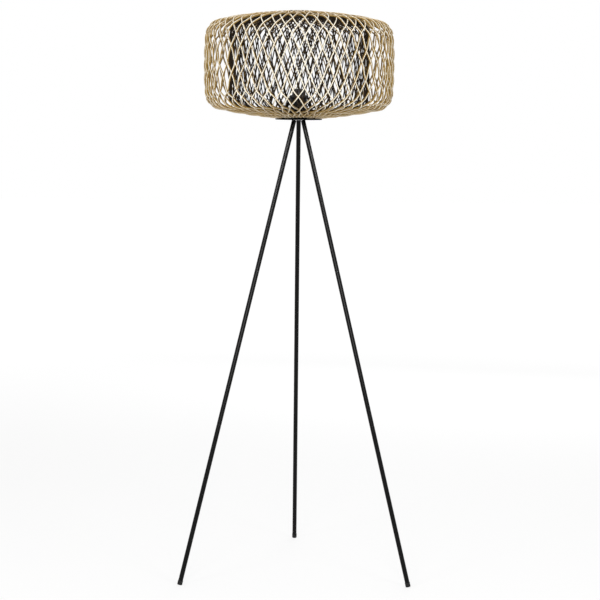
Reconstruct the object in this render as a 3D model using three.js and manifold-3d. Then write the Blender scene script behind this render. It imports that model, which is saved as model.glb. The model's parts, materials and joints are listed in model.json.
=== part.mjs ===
import * as THREE from "three";
import { mergeVertices } from "three/addons/utils/BufferGeometryUtils.js";
import Module from "manifold-3d";

// Rattan floor lamp: a drum shade woven in two layers on a tripod of slender steel tubes.
// Millimetres, +Z up, the floor at z = 0, the rear leg towards +Y.

// Clearances shared by the pieces that seat on each other.
const seatGap = 0.3;
const weldDepth = 0.5;
const cutOverrun = 4;

// Tripod.
const hubHeight = 1199.5;
const footCircleRadius = 340;
const legTopRadius = 13;
const tubeRadius = 6;
const tubeWall = 1;
const legSections = 3;
const roundingSteps = 2;
const legSides = 12;
const smallSides = 8;

// Legs' threaded joints.
const threadRadius = 3.7;
const insertBore = 4;
const insertLength = 15;
const insertInset = 1;
const studPlugLength = 16;
const studPinLength = 13;
const hubStudReach = 20;

// Foot caps.
const footRadius = 6.7;
const footHeight = 12;
const footRounding = 2;
const footPlugLength = 14;
const footEndHeight = 0.5;

// Hub plate.
const plateRadius = 61.5;
const plateThickness = 2.2;
const plateBevel = 0.4;
const plateSides = 36;

// Hollow nipple that carries the lamp holder, and the cord's way out.
const nippleRadius = 5;
const nippleBore = 3.5;
const nippleHeadRadius = 6.4;
const nippleHeadThickness = 1.2;
const nippleHeight = 14;
const bushBore = 2.6;
const bushLength = 8;
const bushLipRadius = 4.6;
const bushLipThickness = 0.8;

// Holder cup, its washer and its nut.
const cupRadius = 22;
const cupHeight = 53;
const cupWall = 1;
const cupBottomRounding = 3;
const washerRadius = 9.5;
const washerThickness = 1;
const nutRadius = 8.2;
const nutThickness = 3.5;
const nutCorners = 6;
const holderSides = 20;

// Lamp holder, for a lamp cap of 27 mm.
const barrelRadius = 18;
const barrelBore = 15.2;
const barrelTop = 78;
const barrelRim = 1.6;
const barrelFlangeRadius = 20.2;
const barrelFlangeThickness = 3;
const capRadius = 20.2;
const capWall = 2.2;
const capHeight = 26;
const capNeckRadius = 9;
const capNeckHeight = 5;
const coreRadius = 14.8;
const coreHeight = 14;
const coreWireHoleRadius = 2;
const coreWireHoleOffset = 8;
const lampShellRadius = 13.9;
const lampShellWall = 0.5;
const lampShellHeight = 26;
const contactWidth = 5;
const contactThickness = 0.5;
const contactReach = 9;
const contactRise = 3;

// Threaded ring that holds the shade down on the holder.
const ringBoreClearance = 0.5;
const ringRadius = 25;
const ringHeight = 6;
const ringNotches = 16;
const ringNotchRadius = 1.2;

// Shade carrier: bottom flange, three arms and the seat round the holder.
const shadeHeight = 278;
const flangeThickness = 1.5;
const flangeInnerRadius = 44;
const collarRadius = 52;
const collarWall = 1.5;
const collarHeight = 7.5;
const seatBoreRadius = 18.6;
const seatRadius = 24.5;
const armWidth = 8;
const armThickness = 1.5;
const armBendRadius = 27;
const armFootRadius = 47;
const armCount = 3;

// Top ring.
const topRingRadius = 59.7;

// Woven drums. Each height is measured from the middle of the shade.
const outerDrum = {
  radius: 250,
  bulge: 2.6,
  cornerRadius: 42,
  shoulderHeight: 114.2,
  shoulderSlope: 0.2,
  strips: 30,
  stripWidth: 3.4,
  stripThickness: 1.8,
  rows: { cone: 3, corner: 2, side: 3 },
};
const shoulderStep = 2.6;
const innerDrum = {
  radius: 187,
  bulge: 1.5,
  cornerRadius: 24,
  shoulderHeight: outerDrum.shoulderHeight - shoulderStep,
  shoulderSlope: 0.24,
  strips: 22,
  stripWidth: 3.2,
  stripThickness: 1.6,
  rows: { cone: 2, corner: 1, side: 3 },
};
const coneControlShare = 0.5;
const crossingReachShare = 0.42;
const halfShare = 0.5;

// Heights and places worked out from the sizes above.
const fullTurn = 2 * Math.PI;
const plateTop = hubHeight + plateThickness;
const splay = Math.atan2(footCircleRadius - legTopRadius, hubHeight);
const legAxisLength = hubHeight / Math.cos(splay);
const tubeBore = tubeRadius - tubeWall;
const plugRadius = tubeBore - seatGap;
const tubeStart = tubeRadius * Math.tan(splay) + seatGap / Math.cos(splay);
const footEnd = legAxisLength - footEndHeight / Math.cos(splay);
const tubesLength = footEnd - footHeight - seatGap - tubeStart;
const sectionLength = (tubesLength - (legSections - 1) * seatGap) / legSections;

const cupBottom = plateTop + seatGap;
const cupFloorTop = cupBottom + cupWall;
const cupTop = cupBottom + cupHeight;
const washerBottom = cupFloorTop + seatGap;
const nutBottom = washerBottom + washerThickness + seatGap;
const capBottom = nutBottom + nutThickness + seatGap;
const capTop = capBottom + capHeight;
const barrelBottom = capTop + seatGap;
const holderTop = plateTop + barrelTop;
const coreBottom = barrelBottom;
const coreTop = coreBottom + coreHeight;
const lampShellBottom = coreTop + seatGap;

const flangeBottom = plateTop + seatGap;
const flangeTop = flangeBottom + flangeThickness;
const shadeTop = flangeBottom + shadeHeight;
const topFlangeBottom = shadeTop - flangeThickness;
const shadeMiddle = (flangeTop + topFlangeBottom) / 2;
const seatBottom = cupTop + seatGap;
const seatTop = seatBottom + flangeThickness;
const ringBottom = seatTop + seatGap;
const weaveEndRadius = collarRadius + seatGap;
const outerEndHeight = topFlangeBottom - seatGap - outerDrum.stripThickness - shadeMiddle;
const innerEndHeight = outerEndHeight - seatGap - innerDrum.stripThickness;

const legAzimuths = {
  left: THREE.MathUtils.degToRad(210),
  right: THREE.MathUtils.degToRad(330),
  rear: THREE.MathUtils.degToRad(90),
};

const blackSteel = new THREE.MeshStandardMaterial({ color: 0x17181a, roughness: 0.42, metalness: 0.55 });
const bareSteel = new THREE.MeshStandardMaterial({ color: 0xa4a6a8, roughness: 0.35, metalness: 1 });
const blackRubber = new THREE.MeshStandardMaterial({ color: 0x101011, roughness: 0.85, metalness: 0 });
const blackPlastic = new THREE.MeshStandardMaterial({ color: 0x151515, roughness: 0.5, metalness: 0 });
const paleCeramic = new THREE.MeshStandardMaterial({ color: 0xe4ded2, roughness: 0.4, metalness: 0 });
const lampBrass = new THREE.MeshStandardMaterial({ color: 0xb08d4a, roughness: 0.32, metalness: 1 });
const naturalCane = new THREE.MeshStandardMaterial({ color: 0xc9a26a, roughness: 0.62, metalness: 0 });
const blackCane = new THREE.MeshStandardMaterial({ color: 0x1d1916, roughness: 0.6, metalness: 0 });

const wasm = await Module();
wasm.setup();

// Joins and cuts.

function solidOf(geometry) {
  const bare = geometry.clone();
  bare.deleteAttribute("normal");
  bare.deleteAttribute("uv");
  const merged = mergeVertices(bare);
  const vertProperties = new Float32Array(merged.attributes.position.array);
  const triVerts = new Uint32Array(merged.index.array);
  return new wasm.Manifold(new wasm.Mesh({ numProp: 3, vertProperties, triVerts }));
}

function geometryOf(solid) {
  const { vertProperties, triVerts } = solid.getMesh();
  const geometry = new THREE.BufferGeometry();
  geometry.setAttribute("position", new THREE.BufferAttribute(vertProperties, 3));
  geometry.setIndex(new THREE.BufferAttribute(triVerts, 1));
  geometry.computeVertexNormals();
  return geometry;
}

function joined(...geometries) {
  const [first, ...others] = geometries.map(solidOf);
  return geometryOf(others.reduce((whole, piece) => whole.add(piece), first));
}

function cut(geometry, ...tools) {
  return geometryOf(tools.map(solidOf).reduce((left, tool) => left.subtract(tool), solidOf(geometry)));
}

// Round pieces, turned about Z. A profile is a list of [radius, height], counter-clockwise.

function turned(profile, sides) {
  const points = profile.map(([radius, height]) => new THREE.Vector2(radius, height));
  return new THREE.LatheGeometry(points, sides).rotateX(Math.PI / 2);
}

function rod(radius, bottom, top, sides = smallSides) {
  return turned([[0, bottom], [radius, bottom], [radius, top], [0, top]], sides);
}

function sleeve(bore, radius, bottom, top, sides = smallSides) {
  return turned([[bore, bottom], [radius, bottom], [radius, top], [bore, top], [bore, bottom]], sides);
}

function mesh(name, geometry, material) {
  const piece = new THREE.Mesh(geometry, material);
  piece.name = name;
  return piece;
}

// A leg's own frame: it starts where the leg's axis meets the plate's underside, and +Z runs down the leg.

function legFrame(azimuth) {
  const frame = new THREE.Group();
  const tilted = new THREE.Group();
  tilted.position.set(legTopRadius, 0, hubHeight);
  tilted.rotation.y = Math.PI - splay;
  frame.rotation.z = azimuth;
  frame.add(tilted);
  frame.updateMatrixWorld(true);
  return { frame, tilted, matrix: tilted.matrixWorld.clone() };
}

function slab(bottom, top) {
  const width = 2 * (footCircleRadius + footRadius + cutOverrun);
  const box = new THREE.BoxGeometry(width, width, top - bottom);
  return box.translate(0, 0, (bottom + top) / 2);
}

// Threaded stud, set in the plate at the leg's angle and flush with its upper face.
function hubStud(matrix) {
  const stud = rod(threadRadius, -cutOverrun - plateThickness, hubStudReach).applyMatrix4(matrix);
  return cut(stud, slab(plateTop, plateTop + cutOverrun + plateThickness));
}

function studHole(matrix) {
  const overrun = cutOverrun + plateThickness;
  return rod(threadRadius + seatGap, -overrun, overrun).applyMatrix4(matrix);
}

function tubeSection(start) {
  return sleeve(tubeBore, tubeRadius, start, start + sectionLength, legSides);
}

// Threaded insert, pressed in a tube's end so that its face lies a little inside.
function threadedInsert(start) {
  return sleeve(insertBore, plugRadius, start, start + insertLength);
}

// Plug pressed in the top of the lower tube, with a threaded pin that screws into the tube above.
function jointStud(start) {
  const shoulder = start + insertInset;
  return turned(
    [
      [0, start - studPinLength],
      [threadRadius, start - studPinLength],
      [threadRadius, shoulder],
      [plugRadius, shoulder],
      [plugRadius, shoulder + studPlugLength],
      [0, shoulder + studPlugLength],
    ],
    smallSides,
  );
}

// Rubber cap with a plug in the tube, a rounded rim and a small flat where it stands.
function footCap(matrix) {
  const top = footEnd - footHeight;
  const rounding = new THREE.Path();
  rounding.absarc(footRadius - footRounding, footEnd - footRounding, footRounding, 0, Math.PI / 2);
  const rim = rounding.getPoints(roundingSteps).map((point) => [point.x, point.y]);
  const plugTop = top - footPlugLength;
  const profile = [[0, plugTop], [plugRadius, plugTop], [plugRadius, top], [footRadius, top], ...rim, [0, footEnd]];
  const cap = turned(profile, legSides).applyMatrix4(matrix);
  return cut(cap, slab(-cutOverrun, 0));
}

function buildLeg(side, azimuth, lamp) {
  const { frame, tilted, matrix } = legFrame(azimuth);
  lamp.add(frame);
  lamp.add(mesh("hub_stud_" + side, hubStud(matrix), bareSteel));
  lamp.add(mesh("foot_cap_" + side, footCap(matrix), blackRubber));
  const sectionNames = ["upper", "middle", "lower"];
  sectionNames.forEach((section, i) => {
    const start = tubeStart + i * (sectionLength + seatGap);
    tilted.add(mesh(`leg_${section}_tube_${side}`, tubeSection(start), blackSteel));
    if (i === 0) {
      tilted.add(mesh("leg_top_insert_" + side, threadedInsert(start + insertInset), bareSteel));
    } else {
      const above = start - seatGap - insertInset - insertLength;
      tilted.add(mesh(`leg_${section}_insert_${side}`, threadedInsert(above), bareSteel));
      tilted.add(mesh(`leg_${section}_stud_${side}`, jointStud(start), bareSteel));
    }
  });
}

function hubPlate() {
  const bore = nippleRadius + seatGap;
  const disc = turned(
    [
      [bore, hubHeight],
      [plateRadius - plateBevel, hubHeight],
      [plateRadius, hubHeight + plateBevel],
      [plateRadius, plateTop - plateBevel],
      [plateRadius - plateBevel, plateTop],
      [bore, plateTop],
      [bore, hubHeight],
    ],
    plateSides,
  );
  const holes = Object.values(legAzimuths).map((azimuth) => studHole(legFrame(azimuth).matrix));
  return cut(disc, ...holes);
}

// Hollow nipple with a thin head under the plate.
function nipple() {
  const headTop = hubHeight - seatGap;
  const headBottom = headTop - nippleHeadThickness;
  const top = plateTop + nippleHeight;
  return turned(
    [
      [nippleBore, headBottom],
      [nippleHeadRadius, headBottom],
      [nippleHeadRadius, headTop],
      [nippleRadius, headTop],
      [nippleRadius, top],
      [nippleBore, top],
      [nippleBore, headBottom],
    ],
    legSides,
  );
}

// Plastic bush in the nipple's lower end, where a cord would leave.
function cordBush() {
  const lipTop = hubHeight - seatGap - nippleHeadThickness - seatGap;
  const lipBottom = lipTop - bushLipThickness;
  const barrel = nippleBore - seatGap;
  return turned(
    [
      [bushBore, lipBottom],
      [bushLipRadius, lipBottom],
      [bushLipRadius, lipTop],
      [barrel, lipTop],
      [barrel, lipBottom + bushLength],
      [bushBore, lipBottom + bushLength],
      [bushBore, lipBottom],
    ],
    smallSides,
  );
}

// Deep steel cup that hides the lower half of the lamp holder.
function holderCup() {
  const bore = nippleRadius + seatGap;
  const inside = cupRadius - cupWall;
  const outerCorner = new THREE.Path();
  outerCorner.absarc(cupRadius - cupBottomRounding, cupBottom + cupBottomRounding, cupBottomRounding, -Math.PI / 2, 0);
  const corner = outerCorner.getPoints(roundingSteps).map((point) => [point.x, point.y]);
  return turned(
    [
      [bore, cupBottom],
      ...corner,
      [cupRadius, cupTop],
      [inside, cupTop],
      [inside, cupFloorTop + cupBottomRounding],
      [inside - cupBottomRounding, cupFloorTop],
      [bore, cupFloorTop],
      [bore, cupBottom],
    ],
    holderSides,
  );
}

function hexNut() {
  const top = nutBottom + nutThickness;
  const body = rod(nutRadius, nutBottom, top, nutCorners);
  return cut(body, rod(nippleRadius + seatGap, nutBottom - cutOverrun, top + cutOverrun, legSides));
}

// Lower half of the lamp holder: a neck that screws on the nipple, and a cap that widens from it.
function holderCap() {
  const bore = nippleRadius + seatGap;
  const neckTop = capBottom + capNeckHeight;
  const shoulder = neckTop + (capRadius - capNeckRadius) / 2;
  return turned(
    [
      [bore, capBottom],
      [capNeckRadius, capBottom],
      [capNeckRadius, neckTop],
      [capRadius, shoulder],
      [capRadius, capTop],
      [capRadius - capWall, capTop],
      [capRadius - capWall, shoulder + capWall],
      [capNeckRadius, neckTop + capWall],
      [bore, neckTop + capWall],
      [bore, capBottom],
    ],
    holderSides,
  );
}

// Upper half of the lamp holder: a threaded barrel with a flange on the cap.
function holderBarrel() {
  const flangeTopEdge = barrelBottom + barrelFlangeThickness;
  return turned(
    [
      [barrelBore, barrelBottom],
      [barrelFlangeRadius, barrelBottom],
      [barrelFlangeRadius, flangeTopEdge],
      [barrelRadius, flangeTopEdge],
      [barrelRadius, holderTop - barrelRim],
      [barrelRadius - barrelRim, holderTop],
      [barrelBore, holderTop],
      [barrelBore, barrelBottom],
    ],
    holderSides,
  );
}

// Ceramic core with two wire holes.
function holderCore() {
  const wireHole = (offset) =>
    rod(coreWireHoleRadius, coreBottom - cutOverrun, coreTop + cutOverrun).translate(0, offset, 0);
  const body = rod(coreRadius, coreBottom, coreTop, holderSides);
  return cut(body, wireHole(coreWireHoleOffset), wireHole(-coreWireHoleOffset));
}

function lampShell() {
  const bore = lampShellRadius - lampShellWall;
  return sleeve(bore, lampShellRadius, lampShellBottom, lampShellBottom + lampShellHeight, holderSides);
}

// Sprung tongue on the core, bent up to meet the lamp's end.
function centreContact() {
  const bottom = coreTop + seatGap;
  const half = contactReach / 2;
  const profile = new THREE.Shape();
  profile.moveTo(-half, 0);
  profile.lineTo(0, 0);
  profile.lineTo(half, contactRise);
  profile.lineTo(half, contactRise + contactThickness);
  profile.lineTo(0, contactThickness);
  profile.lineTo(-half, contactThickness);
  profile.closePath();
  const tongue = new THREE.ExtrudeGeometry(profile, { depth: contactWidth, bevelEnabled: false });
  return tongue.translate(0, 0, -contactWidth / 2).rotateX(Math.PI / 2).translate(0, 0, bottom);
}

// Threaded ring with finger notches round its edge.
function retainingRing() {
  const top = ringBottom + ringHeight;
  const bore = barrelRadius + ringBoreClearance;
  const body = sleeve(bore, ringRadius, ringBottom, top, holderSides);
  const notches = Array.from({ length: ringNotches }, (_, i) => {
    const notch = rod(ringNotchRadius, ringBottom - cutOverrun, top + cutOverrun, smallSides / 2);
    return notch.translate(ringRadius, 0, 0).rotateZ((i * fullTurn) / ringNotches);
  });
  return cut(body, ...notches);
}

// One arm of the carrier: a strip bent down from the seat to the bottom flange.
function carrierArm() {
  const start = seatRadius - armThickness;
  const foot = flangeTop - weldDepth;
  const profile = new THREE.Shape();
  profile.moveTo(start, seatBottom);
  profile.lineTo(armBendRadius, seatBottom);
  profile.lineTo(armFootRadius, foot);
  profile.lineTo(armFootRadius + armThickness, foot);
  profile.lineTo(armBendRadius + armThickness, seatTop);
  profile.lineTo(start, seatTop);
  profile.closePath();
  const arm = new THREE.ExtrudeGeometry(profile, { depth: armWidth, bevelEnabled: false });
  return arm.translate(0, 0, -armWidth / 2).rotateX(Math.PI / 2);
}

// The shade's welded carrier: a flange with a collar that takes the strips' lower ends, and the seat.
function shadeCarrier() {
  const collarInside = collarRadius - collarWall;
  const base = turned(
    [
      [flangeInnerRadius, flangeBottom],
      [plateRadius, flangeBottom],
      [plateRadius, flangeTop],
      [collarRadius, flangeTop],
      [collarRadius, flangeTop + collarHeight],
      [collarInside, flangeTop + collarHeight],
      [collarInside, flangeTop],
      [flangeInnerRadius, flangeTop],
      [flangeInnerRadius, flangeBottom],
    ],
    plateSides,
  );
  const seat = sleeve(seatBoreRadius, seatRadius, seatBottom, seatTop, holderSides);
  const arms = Array.from({ length: armCount }, (_, i) => {
    return carrierArm().rotateZ(legAzimuths.rear + ((i + 1 / 2) * fullTurn) / armCount);
  });
  return joined(base, seat, ...arms);
}

// Ring that takes the strips' upper ends and frames the mouth of the shade.
function shadeTopRing() {
  const collarInside = collarRadius - collarWall;
  const collarBottom = topFlangeBottom - collarHeight;
  return turned(
    [
      [collarInside, collarBottom],
      [collarRadius, collarBottom],
      [collarRadius, topFlangeBottom],
      [topRingRadius, topFlangeBottom],
      [topRingRadius, shadeTop],
      [collarInside, shadeTop],
      [collarInside, collarBottom],
    ],
    plateSides,
  );
}

// A drum's outline, in radius and height, from the lower ring out and round to the upper ring.
// A shallow cone runs into a round corner, and the side swells a little at the middle.
function drumOutline(drum, endHeight) {
  const side = drum.radius - drum.stripThickness;
  const shoulderAngle = Math.PI / 2 - Math.atan(drum.shoulderSlope);
  const centreHeight = drum.shoulderHeight - drum.cornerRadius * Math.sin(shoulderAngle);
  const sideAngle = Math.atan2(2 * drum.bulge, centreHeight);
  const sideHeight = centreHeight + drum.cornerRadius * Math.sin(sideAngle);
  const centreRadius = side - drum.bulge - drum.cornerRadius * Math.cos(sideAngle);
  const shoulderRadius = centreRadius + drum.cornerRadius * Math.cos(shoulderAngle);
  const controlRadius = THREE.MathUtils.lerp(shoulderRadius, weaveEndRadius, coneControlShare);
  const controlHeight = drum.shoulderHeight + (shoulderRadius - controlRadius) * drum.shoulderSlope;
  const corner = (direction, from, to) =>
    new THREE.EllipseCurve(
      centreRadius,
      direction * centreHeight,
      drum.cornerRadius,
      drum.cornerRadius,
      direction * from,
      direction * to,
    );
  const at = (radius, height) => new THREE.Vector2(radius, height);
  const sideEnd = side - drum.bulge;
  const outline = new THREE.CurvePath();
  outline.add(
    new THREE.QuadraticBezierCurve(
      at(weaveEndRadius, -endHeight),
      at(controlRadius, -controlHeight),
      at(shoulderRadius, -drum.shoulderHeight),
    ),
  );
  outline.add(corner(-1, shoulderAngle, sideAngle));
  outline.add(
    new THREE.QuadraticBezierCurve(
      at(sideEnd, -sideHeight),
      at(sideEnd + 2 * drum.bulge, 0),
      at(sideEnd, sideHeight),
    ),
  );
  outline.add(corner(1, sideAngle, shoulderAngle));
  outline.add(
    new THREE.QuadraticBezierCurve(
      at(shoulderRadius, drum.shoulderHeight),
      at(controlRadius, controlHeight),
      at(weaveEndRadius, endHeight),
    ),
  );
  return outline;
}

// Distances along the outline at which the strips cross, evenly spaced on each of its stretches.
function crossingDistances(outline, rows) {
  const counts = [rows.cone, rows.corner, rows.side, rows.corner, rows.cone];
  const distances = [0];
  outline.curves.forEach((curve, i) => {
    const start = distances.at(-1);
    const step = curve.getLength() / counts[i];
    for (let row = 1; row <= counts[i]; row += 1) distances.push(start + row * step);
  });
  return distances;
}

// A drum woven of split cane: flat inside, ridged outside, half of its strips winding each way.
// Each crossing has four corners on the flat side and one point on the ridge.
function wovenDrum(drum, endHeight) {
  const outline = drumOutline(drum, endHeight);
  const length = outline.getLength();
  const distances = crossingDistances(outline, drum.rows);
  const lastRow = distances.length - 1;
  const halfStep = Math.PI / drum.strips;
  const positions = [];
  const triangles = [];

  const pointAt = (row, place, aside, lift) => {
    const share = THREE.MathUtils.clamp(distances[row] / length, 0, 1);
    const point = outline.getPoint(share);
    const tangent = outline.getTangent(share);
    const angle = (2 * place + (row % 2)) * halfStep + aside / point.x;
    const radius = point.x + lift * tangent.y;
    const height = point.y - lift * tangent.x;
    return new THREE.Vector3(radius * Math.cos(angle), radius * Math.sin(angle), shadeMiddle + height);
  };

  const leanBetween = (row, nextRow) => {
    const radius = outline.getPoint(distances[row] / length).x;
    return Math.atan2(radius * halfStep, Math.abs(distances[nextRow] - distances[row]));
  };

  // The corner between two strips that run on from a crossing to the next row.
  const fork = (row, place, nextRow) => {
    if (nextRow < 0 || nextRow > lastRow) return null;
    const step = Math.abs(distances[nextRow] - distances[row]);
    const reach = drum.stripWidth / 2 / Math.sin(leanBetween(row, nextRow));
    const left = pointAt(nextRow, place - 1 + (row % 2), 0, 0);
    const between = pointAt(nextRow, place + (row % 2), 0, 0).lerp(left, halfShare);
    return pointAt(row, place, 0, 0).lerp(between, Math.min(reach / step, crossingReachShare));
  };

  const addPoint = (point) => {
    if (!point) return null;
    positions.push(point.x, point.y, point.z);
    return positions.length / 3 - 1;
  };

  const crossing = (row, place) => {
    const lean = leanBetween(row, row < lastRow ? row + 1 : row - 1);
    const across = drum.stripWidth / 2 / Math.cos(lean);
    return {
      left: addPoint(pointAt(row, place, -across, 0)),
      right: addPoint(pointAt(row, place, across, 0)),
      down: addPoint(fork(row, place, row - 1)),
      up: addPoint(fork(row, place, row + 1)),
      ridge: addPoint(pointAt(row, place, 0, drum.stripThickness)),
    };
  };

  const quad = (a, b, c, d) => triangles.push(a, b, c, a, c, d);
  const grid = distances.map((_, row) => {
    return Array.from({ length: drum.strips }, (_, place) => crossing(row, place));
  });
  const crossingAt = (row, place) => grid[row][(place + drum.strips) % drum.strips];

  grid.forEach((crossings, row) => {
    crossings.forEach((here, place) => {
      if (row === 0) {
        triangles.push(here.left, here.up, here.right, here.ridge, here.left, here.right);
      } else if (row === lastRow) {
        triangles.push(here.left, here.right, here.down, here.left, here.ridge, here.right);
      } else {
        quad(here.left, here.up, here.right, here.down);
      }
      if (row === lastRow) return;
      const right = crossingAt(row + 1, place + (row % 2));
      quad(here.ridge, right.ridge, right.left, here.up);
      quad(here.ridge, here.right, right.down, right.ridge);
      quad(here.up, right.left, right.down, here.right);
      const left = crossingAt(row + 1, place - 1 + (row % 2));
      quad(here.ridge, here.up, left.right, left.ridge);
      quad(here.ridge, left.ridge, left.down, here.left);
      quad(here.left, left.down, left.right, here.up);
    });
  });

  const geometry = new THREE.BufferGeometry();
  geometry.setAttribute("position", new THREE.Float32BufferAttribute(positions, 3));
  geometry.setIndex(triangles);
  geometry.computeVertexNormals();
  return geometry;
}

function buildStand(lamp) {
  lamp.add(mesh("hub_plate", hubPlate(), blackSteel));
  for (const [side, azimuth] of Object.entries(legAzimuths)) buildLeg(side, azimuth, lamp);
}

function buildHolder(lamp) {
  const nippleHole = nippleRadius + seatGap;
  const washer = sleeve(nippleHole, washerRadius, washerBottom, washerBottom + washerThickness, legSides);
  lamp.add(mesh("holder_nipple", nipple(), bareSteel));
  lamp.add(mesh("cord_bush", cordBush(), blackPlastic));
  lamp.add(mesh("holder_cup", holderCup(), blackSteel));
  lamp.add(mesh("nipple_washer", washer, bareSteel));
  lamp.add(mesh("nipple_nut", hexNut(), bareSteel));
  lamp.add(mesh("holder_cap", holderCap(), blackPlastic));
  lamp.add(mesh("holder_barrel", holderBarrel(), blackPlastic));
  lamp.add(mesh("holder_core", holderCore(), paleCeramic));
  lamp.add(mesh("lamp_shell", lampShell(), lampBrass));
  lamp.add(mesh("centre_contact", centreContact(), lampBrass));
}

function buildShade(lamp) {
  lamp.add(mesh("retaining_ring", retainingRing(), blackPlastic));
  lamp.add(mesh("shade_carrier", shadeCarrier(), blackSteel));
  lamp.add(mesh("shade_top_ring", shadeTopRing(), blackSteel));
  lamp.add(mesh("outer_weave", wovenDrum(outerDrum, outerEndHeight), naturalCane));
  lamp.add(mesh("inner_weave", wovenDrum(innerDrum, innerEndHeight), blackCane));
}

// The rear foot reaches further back than the shade reaches forward, so the lamp's axis lies in front of
// the origin, which is the middle of the floor space that the whole lamp covers.
function centred(lamp) {
  const bounds = new THREE.Box3().setFromObject(lamp, true);
  lamp.position.y = -(bounds.min.y + bounds.max.y) / 2;
  return lamp;
}

const lamp = new THREE.Group();
buildStand(lamp);
buildHolder(lamp);
buildShade(lamp);

export default centred(lamp);
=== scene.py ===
"""Rattan floor lamp: two woven cane drums on a steel tripod, built round the packed model."""

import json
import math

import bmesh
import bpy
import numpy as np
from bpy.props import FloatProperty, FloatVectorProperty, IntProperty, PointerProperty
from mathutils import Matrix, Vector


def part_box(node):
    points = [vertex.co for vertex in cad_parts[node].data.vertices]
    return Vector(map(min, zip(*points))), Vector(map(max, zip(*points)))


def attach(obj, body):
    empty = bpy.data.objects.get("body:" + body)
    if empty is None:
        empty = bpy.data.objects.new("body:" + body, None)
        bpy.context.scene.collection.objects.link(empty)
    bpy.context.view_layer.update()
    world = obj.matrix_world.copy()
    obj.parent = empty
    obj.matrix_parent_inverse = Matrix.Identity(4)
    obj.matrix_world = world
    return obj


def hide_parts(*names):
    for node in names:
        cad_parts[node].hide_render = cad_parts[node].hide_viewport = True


bl_info = {
    "name": "Rattan Floor Lamp",
    "version": (1, 0, 0),
    "blender": (4, 5, 0),
    "location": "View3D > Sidebar > Floor Lamp",
    "description": "Models the woven shade, the tripod, the lamp holder and a plain studio",
    "category": "Object",
}

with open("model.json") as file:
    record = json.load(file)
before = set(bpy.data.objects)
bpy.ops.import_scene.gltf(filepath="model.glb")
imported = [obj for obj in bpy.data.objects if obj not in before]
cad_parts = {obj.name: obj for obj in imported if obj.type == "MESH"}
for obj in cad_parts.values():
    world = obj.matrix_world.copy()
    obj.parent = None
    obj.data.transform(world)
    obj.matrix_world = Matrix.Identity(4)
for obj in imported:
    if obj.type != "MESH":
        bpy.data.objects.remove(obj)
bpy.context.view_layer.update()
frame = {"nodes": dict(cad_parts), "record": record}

PLATE_LOW, PLATE_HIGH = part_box("hub_plate")
LAMP_AXIS = (PLATE_LOW + PLATE_HIGH) / 2
SHADE_LOW, SHADE_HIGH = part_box("outer_weave")
SHADE_MIDDLE = (SHADE_LOW.z + SHADE_HIGH.z) / 2
SIDES = {"left": 210, "right": 330, "rear": 90}  # where each leg points, in degrees
FULL_TURN = 2 * math.pi
HAIR = 1e-6  # closer than this, two points are one
NIPPLE_HOLE = 0.0053  # radius of the hole for the nipple, in the plate and in the cup
FINE_EDGE, EDGE, SOFT_EDGE = 0.0003, 0.0004, 0.0005  # widths of the eased edges of metal and plastic
LIFT = 0.51  # of its thickness, that a strand rises or dips where it crosses another
HELD_LENGTH = 0.014  # of a strand's end, pressed flat by the collar or the top ring
HELD_LIFT = 0.15  # of the lift that is left at the very end
SHIFT = 0.14  # of the step between strands, that a strand may stand off its place
CURVE_POINTS = 80  # in each curved stretch of a drum's outline


# Sizes and colours.


class OuterDrumSettings(bpy.types.PropertyGroup):
    """Natural outer drum of the shade."""

    strands: IntProperty(name="Strands", description="Strands that wind each way", default=50, min=12)
    width: FloatProperty(name="Strand width", description="Width of a strand", default=0.0026, unit="LENGTH")
    thickness: FloatProperty(
        name="Strand thickness", description="Thickness of a strand", default=0.0039, unit="LENGTH"
    )
    radius: FloatProperty(
        name="Radius", description="Radius of the drum's middle surface", default=0.2464, unit="LENGTH"
    )
    bulge: FloatProperty(name="Bulge", description="How far the side swells", default=0.0026, unit="LENGTH")
    corner: FloatProperty(name="Corner", description="Radius of the shoulders", default=0.042, unit="LENGTH")
    shoulder: FloatProperty(
        name="Shoulder height",
        description="Height of the shoulders from the middle",
        default=0.1138,
        unit="LENGTH",
    )
    slope: FloatProperty(name="Slope", description="Rise of the cones for each metre inwards", default=0.2)
    end_radius: FloatProperty(
        name="End radius", description="Radius at which the strands end", default=0.0526, unit="LENGTH"
    )
    end_height: FloatProperty(
        name="End height",
        description="Height of the strands' ends from the middle",
        default=0.1356,
        unit="LENGTH",
    )
    cone_turn: FloatProperty(
        name="Cone turn",
        description="Turn round the axis on each cone",
        default=math.radians(17.5),
        subtype="ANGLE",
    )
    corner_turn: FloatProperty(
        name="Corner turn",
        description="Turn round the axis on each shoulder",
        default=math.radians(8),
        subtype="ANGLE",
    )
    side_turn: FloatProperty(
        name="Side turn",
        description="Turn round the axis on the side",
        default=math.radians(15),
        subtype="ANGLE",
    )
    unevenness: FloatProperty(
        name="Unevenness", description="How far a strand strays from its line", default=0.0022, unit="LENGTH"
    )
    skin_colour: FloatVectorProperty(
        name="Skin", description="Pale outer skin of the cane", subtype="COLOR", default=(0.92, 0.87, 0.73)
    )
    heart_colour: FloatVectorProperty(
        name="Heart", description="Golden inside of the cane", subtype="COLOR", default=(0.345, 0.218, 0.046)
    )


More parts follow.
